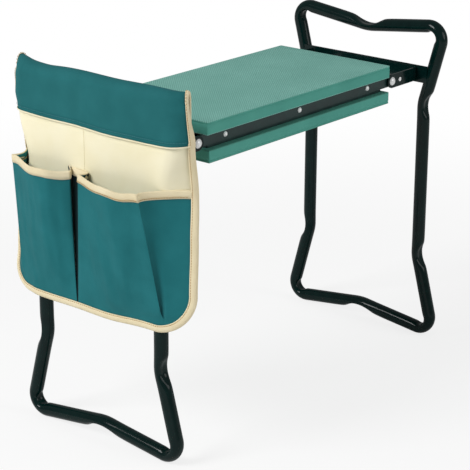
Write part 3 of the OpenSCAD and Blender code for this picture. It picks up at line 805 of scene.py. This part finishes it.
def sleeve_top(y):
    """The height of the sleeve's ridge, low over the bend and high at the far end."""
    sag = SLEEVE_TOP - 1.2 * math.exp(-((y - 91) / 22) ** 2)
    return sag + 3.2 * math.exp(-((y - 140) / 16) ** 2) + 0.6 * math.sin(y / 21)


def band_foot(y):
    """The height of the front hem, which sags beside the middle."""
    sag = 3.0 * math.exp(-((y + 50) / 60) ** 2)
    rise = (2.2 if y > 0 else 0.2) * eased((abs(y) - 80) / 70)
    return BAND_FOOT - sag + rise + 0.25 * math.sin(y / 13)


def sleeve_place(across, along, lift=0.0):
    """A point of the sleeve: up the front, over the handle, then down its back flap."""
    share = 2 * across - 1
    if along < FRONT_SHARE:
        z = between(band_foot(share * 150), TURN_Z, along / FRONT_SHARE)
        half = between(BAG_HALF, SLEEVE_HALF, eased((z - 430) / 60))
        tuck = 0.5 * math.sin(z / 6 + share * 9) * eased((abs(share) - 0.55) / 0.3)
        return panel_point(share * half, z, 1.8 + lift + tuck)
    if along < FRONT_SHARE + OVER_SHARE:
        front = panel_point(share * SLEEVE_HALF, TURN_Z, 1.6 + lift)
        back = hang(SLEEVE_BACK - lift, share * BACK_HALF, TURN_Z)
        turn = math.pi * (along - FRONT_SHARE) / OVER_SHARE
        crown = sleeve_top(share * 150) - TURN_Z + lift
        point = between(front, back, (1 - math.cos(turn)) / 2)
        point.z = (TURN_Z + crown * max(0.0, math.sin(turn)) ** 0.9) * MM
        return point
    drop = (along - FRONT_SHARE - OVER_SHARE) / BACK_SHARE
    z = between(TURN_Z, BACK_FOOT + 1.5 * math.sin(share * 6), drop)
    return hang(SLEEVE_BACK - lift - 0.6 * math.sin(share * 11) * drop, share * BACK_HALF, z)


# The sleeve wears the teal with painted shade.
bag_sleeve = cloth_piece("bag_sleeve_cloth", "bag_sleeve",
                         net(*SLEEVE_NET, sleeve_place, (0.303, 0.145)), sleeve_cloth_painted_shade,
                         away=(-1, 0, 0.6))

# %% [markdown]
# ## Pockets
# Each pocket is one piece of cloth, pleated at the seam between the pockets,
# pushed out into a belly, folded at its outer corner, and brought back as a
# gusset to the panel's edge. The net has one strip of columns for each of
# these, so the folds stay crisp while the cloth between them swells.

# %% Pocket nets
POCKET_NET = (100, 48)
POCKET_LONG = 0.19
MOUTH_Z = 369.0
POCKET_INSET = 6.4
POCKET_CLOTH = 1.2
# Pleat and mouth run through points of (out, across). The foot is the front's
# run along the panel's foot, and the cut is the mouth's flat length in metres.
POCKETS = {
    "near": {
        "side": -1,
        "cut": 0.24,
        "pleat": [(12.8, 39), (13.2, 24), (14.2, 8), (18, 5), (24, 7), (28.5, 10.5)],
        "mouth": [(28.5, 10.5), (33, -6), (37.5, -21), (44, -38), (48.7, -55), (48.4, -68),
                  (45.7, -80), (42.5, -92), (42, -103)],
        "foot": (30.5, -119.0),
        "belly": 5.0,
    },
    "far": {
        "side": 1,
        "cut": 0.172,
        "pleat": [(14.4, 40), (15.4, 37), (18.0, 33.5), (21.5, 31.8)],
        "mouth": [(21.5, 31.8), (31, 43), (41, 57), (41.5, 74), (36, 92), (28, 112), (20, 130),
                  (15, 144)],
        "foot": (32.0, 139.0),
        "belly": 3.0,
    },
}
PLEAT_SHARE = 0.10
FRONT_END = 0.68
FOLD_LIP = 3.2


def fold_lip(along):
    """How far a pocket's corner fold stands proud of its gusset, most near the foot."""
    return FOLD_LIP * eased(along * 14 - 0.7) * max(0.0, 1 - 1.15 * along) ** 1.5


def outline_share(side, reached):
    """The share of the outline's length at which a test on (s, z) is first met."""
    low, high = 0.0, 1.0
    for _ in range(30):
        middle = (low + high) / 2
        if reached(*outline(side, middle, POCKET_INSET)):
            high = middle
        else:
            low = middle
    return low


GUSSET_RUN = {}
for spec in POCKETS.values():
    fold_s = abs(spec["foot"][1])
    GUSSET_RUN[spec["side"]] = (outline_share(spec["side"], lambda s, z: abs(s) > fold_s),
                                outline_share(spec["side"], lambda s, z: z > MOUTH_Z + 2))


def pocket_front(spec, share, along, wave):
    """A point of a pocket's front, which swells and creases between foot and mouth."""
    side = spec["side"]
    mouth = along_spline([Vector(p) for p in spec["mouth"]], share)
    s = between(*spec["foot"], share)
    bottom = panel_point(s, foot_z(s, POCKET_INSET), 1.6)
    point = between(bottom, hang(mouth.x, mouth.y, MOUTH_Z + wave), along)
    swell = math.sin(math.pi * along ** 0.8) * math.sin(math.pi * min(1.0, share * 1.05 + 0.02))
    crease = noise.noise(Vector((point.y * 42, point.z * 9, side * 3.1))) * 3.4
    crease += noise.noise(Vector((point.y * 95, point.z * 16, side * 7.3))) * 1.1
    crease *= math.sin(math.pi * min(1, along * 1.1)) ** 0.7 * math.sin(math.pi * share) ** 0.6
    out = (swell * spec["belly"] + crease) * eased(along * 9) + fold_lip(along) * share ** 9
    point.x -= out * MM
    return point


def pocket_place(which, across, along):
    """A point of a pocket: pleat, front or gusset by its place across the cloth."""
    spec = POCKETS[which]
    side = spec["side"]
    wave = 1.2 * math.sin(across * 23 + side) * along ** 3
    if across <= PLEAT_SHARE:
        share = across / PLEAT_SHARE
        top = along_spline([Vector(p) for p in spec["pleat"]], share)
        top = hang(top.x, top.y, MOUTH_Z + 4 * (1 - share) ** 2 + wave)
        s = 31 + (1.4 * share if side > 0 else 0.6 - 2.0 * share)
        foot = panel_point(s, foot_z(s, POCKET_INSET), 0.8 + 0.8 * share)
        return between(foot, top, along)
    if across <= FRONT_END:
        share = (across - PLEAT_SHARE) / (FRONT_END - PLEAT_SHARE)
        return pocket_front(spec, share, along, wave)
    share = (across - FRONT_END) / (1 - FRONT_END)
    fold = pocket_place(which, FRONT_END, along)
    low, high = GUSSET_RUN[side]
    edge = panel_point(*outline(side, between(low, high, along), POCKET_INSET), 1.6)
    point = between(fold, edge, share)
    hollow = math.sin(math.pi * share ** 0.62) * (2.5 + 8.0 * along) * eased(along * 3)
    under = fold_lip(along) * math.exp(-((share - 0.13) / 0.1) ** 2)
    point.x += (0.35 * hollow + 0.95 * under) * MM
    point.y -= side * (0.75 * hollow + 1.1 * under) * MM
    point.z += 0.3 * wave * share * MM
    return point


def pocket(which):
    """A pocket's net, with painted shade in its pleat and beside its fold, and its corner fold
    kept crisp.
    """
    size = (POCKETS[which]["cut"], POCKET_LONG)
    work = net(*POCKET_NET, lambda across, along: pocket_place(which, across, along), size)
    flat = work.loops.layers.uv["cloth"]
    # tuck holds the painted shade at each point, deep in the pleat and beside the corner fold.
    tuck = work.verts.layers.float.new("tuck")
    spots = {}
    for point in work.verts:
        u, v = point.link_loops[0][flat].uv
        spots[point] = across = u / size[0]
        # Painted shade deep in the pleat.
        point[tuck] = 1 - eased((across / PLEAT_SHARE - 0.62) / 0.36)
        beyond = (across - FRONT_END) / (1 - FRONT_END)
        # Painted shade on the gusset beside the corner fold, strongest near the foot.
        if 0.01 < beyond < 0.3:
            point[tuck] = 0.3 * fold_lip(v / size[1]) * (1 - beyond / 0.3)
    for edge in work.edges:
        if max(abs(spots[point] - FRONT_END) for point in edge.verts) < 0.001:
            edge.smooth = False
    return cloth_piece("bag_pocket_" + which, "bag_" + which + "_pocket", work, teal_cloth,
                       thickness=POCKET_CLOTH)


pockets = {which: pocket(which) for which in POCKETS}

# %% [markdown]
# ## Edge tapes
# The bag's edges are bound with woven tape folded over the raw cloth. Each tape
# is a strip with a U-shaped section, carried along the edge that it binds.

# %% Binding tapes, each with the width of a face and how far it stands off the cloth
EDGE_TAPE = (8.5, 2.2)
MOUTH_TAPE = (9.8, 1.0)
SLEEVE_TAPE = (8.0, 1.2)
SLEEVE_TAPER = 0.5
PIPING = (2.0, 1.0)
TAPE_CLOTH = 0.5
EDGE_STEP = 0.004
TAPE_SECTION = [(1, 1), (0.55, 1.25), (0.12, 1.1), (-0.12, 0.45),
                (-0.12, -0.45), (0.12, -1.1), (0.55, -1.25), (1, -1)]


def tape_reach(tape, taper, along):
    """How wide a tape's face is at a share of its length: it may narrow on its way."""
    return tape[0] * between(1.0, taper, eased(along * 2.4))


def bind(name, edge, rows, tape, replaced=None, taper=1.0, material=tape_cloth,
         slot="bag_edge_tape"):
    """A folded strip along edge(share), which gives the point, the way in and the normal."""
    columns = len(TAPE_SECTION) - 1

    def place(across, along):
        point, inward, normal = edge(along)
        a, b = TAPE_SECTION[round(across * columns)]
        reach = tape_reach(tape, taper, along)
        return point + (inward * a * reach + normal * b * tape[1]) * MM

    work = net(columns, rows, place, (2.4 * tape[0] * MM, 1.0))
    bmesh.ops.recalc_face_normals(work, faces=work.faces)
    piece = add_object(name, work, material, "left_leg", slot_of[slot])
    thicken(piece, TAPE_CLOTH, 1.0, even=False)
    if replaced:
        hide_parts(replaced)
    return piece


def panel_edge(share):
    """The panel's outline from the near top, round the foot, to the far top."""
    side = -1 if share < 0.5 else 1
    along = abs(share - 0.5) * 2
    s, z = outline(side, along, top=EDGE_TOP)
    point = panel_point(s, z)
    if along < EDGE_STEP:
        run = (panel_point(8, foot_z(8)) - panel_point(-8, foot_z(-8))).normalized() * side
        inner = Vector((s, z + 6))
    else:
        before = Vector(outline(side, along - EDGE_STEP, top=EDGE_TOP))
        after = Vector(outline(side, min(1.0, along + EDGE_STEP), top=EDGE_TOP))
        run = (panel_point(*after) - panel_point(*before)).normalized()
        inner = Vector((s, z)) + (after - before).orthogonal().normalized() * 6 * side
    inward = (panel_point(*inner) - point).normalized()
    normal = inward.cross(run).normalized()
    if normal.x > 0 and abs(s) < 120 or normal.dot(panel_point(s, z, 5) - point) < 0:
        normal = -normal
    return point, inward, normal


edge_tape = bind("bag_edge_binding", panel_edge, 260, EDGE_TAPE, "bag_edge_tape")
print("edge tape faces", len(edge_tape.data.polygons))


def mouth_edge(which):
    """A pocket's mouth, from the pleat to the end of the gusset."""
    def edge(share):
        across = between(0.004, 0.995, share)
        point = pocket_place(which, across, 1.0)
        down = (pocket_place(which, across, 0.95) - point).normalized()
        run = (pocket_place(which, min(1, across + 0.004), 1.0)
               - pocket_place(which, max(0, across - 0.004), 1.0)).normalized()
        return point, down, down.cross(run).normalized()
    return edge


bindings = {which: bind("bag_mouth_binding_" + which, mouth_edge(which), 150, MOUTH_TAPE)
            for which in POCKETS}


def sleeve_edge(side):
    """The sleeve's open end, from the band's foot over the handle to the back flap."""
    def edge(share):
        across = 0.5 + side * 0.4995
        point = sleeve_place(across, share)
        inward = (sleeve_place(across - side * 0.02, share) - point).normalized()
        run = (sleeve_place(across, min(1, share + 0.01))
               - sleeve_place(across, max(0, share - 0.01))).normalized()
        return point, inward, inward.cross(run).normalized() * side
    return edge


for side, word in ((-1, "near"), (1, "far")):
    bindings["sleeve_" + word] = bind("bag_sleeve_binding_" + word, sleeve_edge(side), 90,
                                      SLEEVE_TAPE, taper=SLEEVE_TAPER)
print("bindings:", ", ".join(bindings))

# %% Piping on the sleeve's front hem


def hem_edge(share):
    """The front hem of the sleeve, from its near end to its far end."""
    across = between(0.004, 0.996, share)
    point = sleeve_place(across, 0.0, 0.3)
    up = (sleeve_place(across, 0.02, 0.3) - point).normalized()
    run = sleeve_place(min(1, across + 0.01), 0.0) - sleeve_place(max(0, across - 0.01), 0.0)
    return point, up, up.cross(run.normalized()).normalized()


piping = bind("bag_hem_piping", hem_edge, 120, PIPING, material=cream_cloth,
              slot="bag_back_panel")
print("piping faces", len(piping.data.polygons))

# %% [markdown]
# ## Stitching
# The tapes are sewn with tan thread, the panel's middle seam with a pale one
# and the sleeve's hem with teal. Each stitch is a short block laid along its
# seam, a little proud of the cloth, and a whole seam is one piece.

# %% Stitches
STITCH_PITCH = 3.4
STITCH = (2.3, 0.8, 0.45)
HEM_SEAM = 0.055


def seam(name, track, slot="bag_edge_tape", material=thread):
    """A row of stitches along track(share), which gives a point, the run and the normal."""
    spots = [track(i / 200)[0] for i in range(201)]
    length = sum((b - a).length for a, b in zip(spots, spots[1:]))
    count = round(length / (STITCH_PITCH * MM))
    work = bmesh.new()
    size = Matrix.Diagonal((*(side * MM for side in STITCH), 1))
    for index in range(count):
        point, run, normal = track((index + 0.5) / count)
        run = run.normalized()
        side = normal.cross(run).normalized()
        turn = Matrix((run, side, run.cross(side))).transposed().to_4x4()
        bmesh.ops.create_cube(work, size=1, matrix=Matrix.Translation(point) @ turn @ size)
    bmesh.ops.recalc_face_normals(work, faces=work.faces)
    return add_object(name, work, material, "left_leg", slot_of[slot], smooth=False)


def tape_track(edge, tape, margin, face=1, taper=1.0):
    """The line of stitches on one face of a tape that binds edge(share)."""

    def track(share):
        at = between(margin, 1 - margin, share)
        point, inward, normal = edge(at)
        ahead = edge(min(1.0, at + 0.002))[0] - edge(max(0.0, at - 0.002))[0]
        reach = tape_reach(tape, taper, at)
        lift = tape[1] * 1.12 + 0.55
        return point + (inward * 0.8 * reach + normal * face * lift) * MM, ahead, normal * face

    return track


for face, word in ((1, "front"), (-1, "back")):
    track = tape_track(panel_edge, EDGE_TAPE, 0.005, face)
    seam("bag_edge_stitches_" + word, track)
for which in POCKETS:
    track = tape_track(mouth_edge(which), MOUTH_TAPE, 0.02)
    seam("bag_mouth_stitches_" + which, track)
for side, word in ((-1, "near"), (1, "far")):
    track = tape_track(sleeve_edge(side), SLEEVE_TAPE, 0.02, taper=SLEEVE_TAPER)
    seam("bag_sleeve_stitches_" + word, track)


def hem_track(share):
    """The hem's stitches, a little above the sleeve's front edge."""
    across = between(0.02, 0.98, share)
    point = sleeve_place(across, HEM_SEAM, 0.9)
    ahead = sleeve_place(across + 0.004, HEM_SEAM) - sleeve_place(across - 0.004, HEM_SEAM)
    return point, ahead, sleeve_place(across, HEM_SEAM, 2.0) - point


def middle_track(share):
    """The panel's middle seam, between the pockets' mouths and the sleeve."""
    z = between(372.0, 428.0, share)
    return panel_point(SEAM_S, z, 0.15), Vector((0, 0, 1)), Vector((-1, 0, 0))


seam("bag_hem_stitches", hem_track, "bag_sleeve", teal_thread)
seam("bag_middle_stitches", middle_track, "bag_back_panel", pale_thread)

# %% [markdown]
# ## Straps and tabs
# Two webbing straps hold the bag's lower half to the side tubes, and two short
# tabs close the sleeve under the handle. Each is a strip of webbing carried
# along a curve, with woven edges and a wall of its own.

# %% Webbing
WEBBING_NET = (10, 60)
WEBBING = 1.3
WEBBING_WIDE = 24.0
STRAP_LONG = 76.0
TAB_LONG = 46.0
STRAP_Z = sum(c[2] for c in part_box("bag_lower_straps")) / 2 / MM
STRAP_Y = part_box("bag_lower_straps")[1][1] / MM - 11.0
TAB_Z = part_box("bag_closing_tabs")[0][2] / MM
TAB_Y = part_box("bag_closing_tabs")[1][1] / MM - 12.5
TAB_CURVE = [(-12.2, 13), (-12.0, 6), (-9.0, 1.2), (0, 0), (6.4, 1.0), (9.4, 5), (9.6, 12)]


def strap_path(share):
    """A lower strap in plan, as (out, y from the tube's middle)."""
    wrap = TUBE_R + 0.5 + WEBBING / 2
    turns = [Vector((wrap * math.cos(a), -wrap * math.sin(a)))
             for a in (math.radians(60 + 24 * k) for k in range(11))]
    return along_spline([Vector((9.4, -27)), Vector((9.4, -18)), Vector((8.4, -11.6))] + turns
                        + [Vector((9.2, 5.8))], share)


def tab_path(share):
    """A closing tab from the side, as (out, z above the tab's lowest line)."""
    return along_spline([Vector(p) for p in TAB_CURVE], share)


def webbing_strips(name, path, place, long, replaced):
    """Two mirrored strips of webbing in one piece, each carried along path(share)."""
    whole = bmesh.new()
    spare = bpy.data.meshes.new("webbing_strip")
    for side in (-1, 1):
        strip = net(*WEBBING_NET, lambda u, v: place(path(v), (u - 0.5) * WEBBING_WIDE, side),
                    (WEBBING_WIDE * MM, long * MM))
        strip.normal_update()
        strip.to_mesh(spare)
        whole.from_mesh(spare)
        strip.free()
    bpy.data.meshes.remove(spare)
    bmesh.ops.recalc_face_normals(whole, faces=whole.faces)
    piece = add_object(name, whole, webbing, "left_leg", slot_of[replaced])
    thicken(piece, WEBBING, 0.0)
    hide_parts(replaced)
    return piece


lower_straps = webbing_strips(
    "bag_straps", strap_path,
    lambda p, u, side: hang(p.x, side * (STRAP_Y + p.y), STRAP_Z + u),
    STRAP_LONG, "bag_lower_straps")
closing_tabs = webbing_strips(
    "bag_tabs", tab_path,
    lambda p, u, side: hang(p.x, side * TAB_Y + u, TAB_Z + p.y),
    TAB_LONG, "bag_closing_tabs")
print("webbing faces", len(lower_straps.data.polygons) + len(closing_tabs.data.polygons))

# %% [markdown]
# ## Latch springs
# A compression spring pushes each latch outwards. It stands between its seat
# and the latch, with one closed coil at each end, so it is a wire swept along
# a helix.

# %% Springs
SPRING_WIRE = 1.1
SPRING_WIDTH = 9.0
SPRING_TURNS = 9.0
STEPS_A_TURN = 22
WIRE_SIDES = 8


def latch_spring(end):
    """A helix along X, from the spring's seat to the latch at one end of the product."""
    node, latch_body = end + "_latch_spring", end + "_latch"
    low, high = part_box(node)
    middle = (Vector(low) + Vector(high)) / 2
    seat_x, latch_x = (high[0], low[0]) if end == "left" else (low[0], high[0])
    wire = SPRING_WIRE * MM
    coil = (SPRING_WIDTH - SPRING_WIRE) / 2 * MM
    closed = 1.0 / SPRING_TURNS
    count = int(SPRING_TURNS * STEPS_A_TURN)
    way = 1 if latch_x > seat_x else -1
    run = abs(latch_x - seat_x) - wire

    def at(share):
        open_share = max(0.0, min(1.0, (share - closed) / (1 - 2 * closed)))
        along = (min(share, closed) + max(0, share - 1 + closed)) / closed * wire * 0.9
        along += open_share * (run - 1.8 * wire)
        turn = share * SPRING_TURNS * 2 * math.pi
        return Vector((seat_x + way * (along + wire / 2), middle.y + coil * math.cos(turn),
                       middle.z + coil * math.sin(turn)))

    def place(across, along):
        share = round(along * count) / count
        point = at(share)
        ahead = (at(min(1, share + 0.001)) - at(max(0, share - 0.001))).normalized()
        out = (point - Vector((point.x, middle.y, middle.z))).normalized()
        side = ahead.cross(out).normalized()
        angle = math.tau * (round(across * WIRE_SIDES) % WIRE_SIDES) / WIRE_SIDES
        return point + (side * math.cos(angle) + out * math.sin(angle)) * wire / 2

    work = net(WIRE_SIDES, count, place)
    join_edges(work, 1e-6)
    piece = add_object(latch_body + "_coil", work, spring_steel, None, slot_of[node])
    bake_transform(piece)
    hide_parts(node)
    return piece


for end in ("left", "right"):
    latch_spring(end)
print("springs wound")

# %% [markdown]
# ## Cloth
# The pockets are cut narrower at the foot than at the mouth.

# %% Cloth done
print("bag cloth built")
